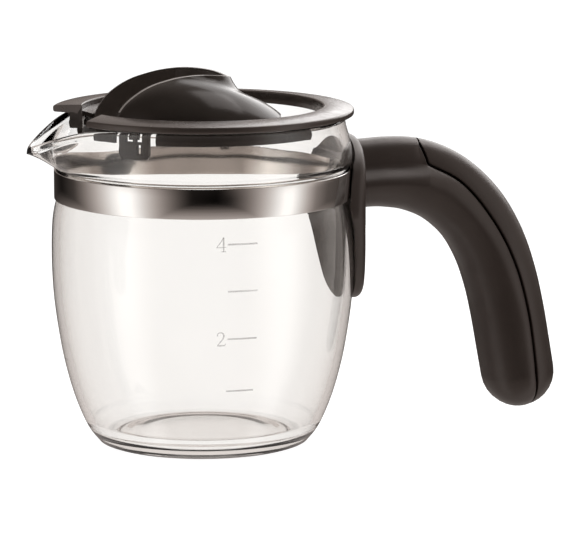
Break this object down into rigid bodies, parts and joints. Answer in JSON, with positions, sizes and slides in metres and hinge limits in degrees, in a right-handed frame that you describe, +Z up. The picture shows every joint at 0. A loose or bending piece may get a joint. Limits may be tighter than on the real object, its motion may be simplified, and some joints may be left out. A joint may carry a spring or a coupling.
{
  "type": "glass coffee jug",
  "caption": "Small bellied glass coffee jug with a pouring spout, a polished steel neck band, a curved black handle and a lift-off black lid with a glossy pouring hood.",
  "frame": {"origin": "centre of the flat underside of the glass, on the surface it stands on", "axes": "+Z up, +X to the handle, -X to the spout"},
  "size_m": [0.151, 0.082, 0.1009],
  "materials": {
    "glass": "clear, polished",
    "polished_steel": "mirror polished",
    "plated_steel": "zinc plated",
    "satin_plastic": "satin warm black",
    "gloss_plastic": "glossy black"
  },
  "bodies": {
    "jug": {"glass_jug": "glass", "clamp_band": "polished_steel", "band_anchor": "plated_steel", "square_nut": "plated_steel", "clamp_screw": "plated_steel", "screw_washer": "plated_steel", "handle_body": "satin_plastic", "handle_cover": "satin_plastic"},
    "lid": {"lid_ring": "satin_plastic", "lid_hood": "gloss_plastic"}
  },
  "joints": [
    {"name": "lid_lift", "type": "slide", "parent": "jug", "child": "lid", "axis": [0, 0, 1], "range_m": [0, 0.03]}
  ]
}
